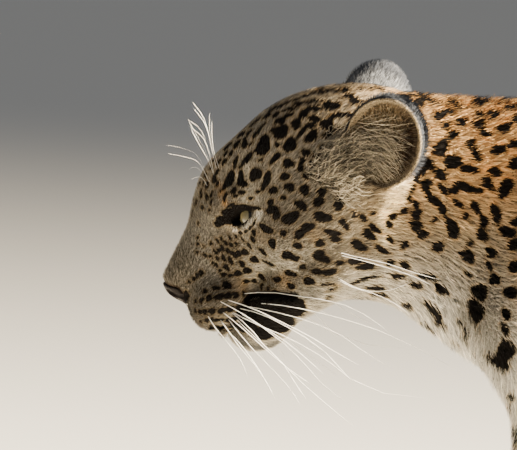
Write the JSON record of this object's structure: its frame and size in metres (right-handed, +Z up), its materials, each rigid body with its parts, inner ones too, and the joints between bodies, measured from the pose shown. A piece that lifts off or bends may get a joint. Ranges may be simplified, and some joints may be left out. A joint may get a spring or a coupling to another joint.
{
  "type": "leopard",
  "caption": "Life-size leopard standing square with its head held low and level, long tail hanging in a curve; a still model in closed solids.",
  "frame": {"origin": "centre of the bounding box at floor level, under the belly", "axes": "+X towards the tail along the body, the head faces -X; +Y to the animal's right side; +Z up"},
  "size_m": [1.4948, 0.2716, 0.6192],
  "materials": {
    "coat": "short matt fur, golden ochre with black spots and rosettes",
    "nose_leather": "damp bare skin",
    "eye": "wet, glossy"
  },
  "bodies": {
    "root": {"head": "coat", "neck": "coat", "torso": "coat", "foreleg_left": "coat", "foreleg_right": "coat", "forepaw_left": "coat", "forepaw_right": "coat", "hindleg_left": "coat", "hindleg_right": "coat", "hindpaw_left": "coat", "hindpaw_right": "coat", "tail_1": "coat", "tail_2": "coat", "tail_3": "coat", "ear_left": "coat", "ear_right": "coat", "eye_left": "eye", "eye_right": "eye", "nose": "nose_leather"}
  },
  "joints": []
}
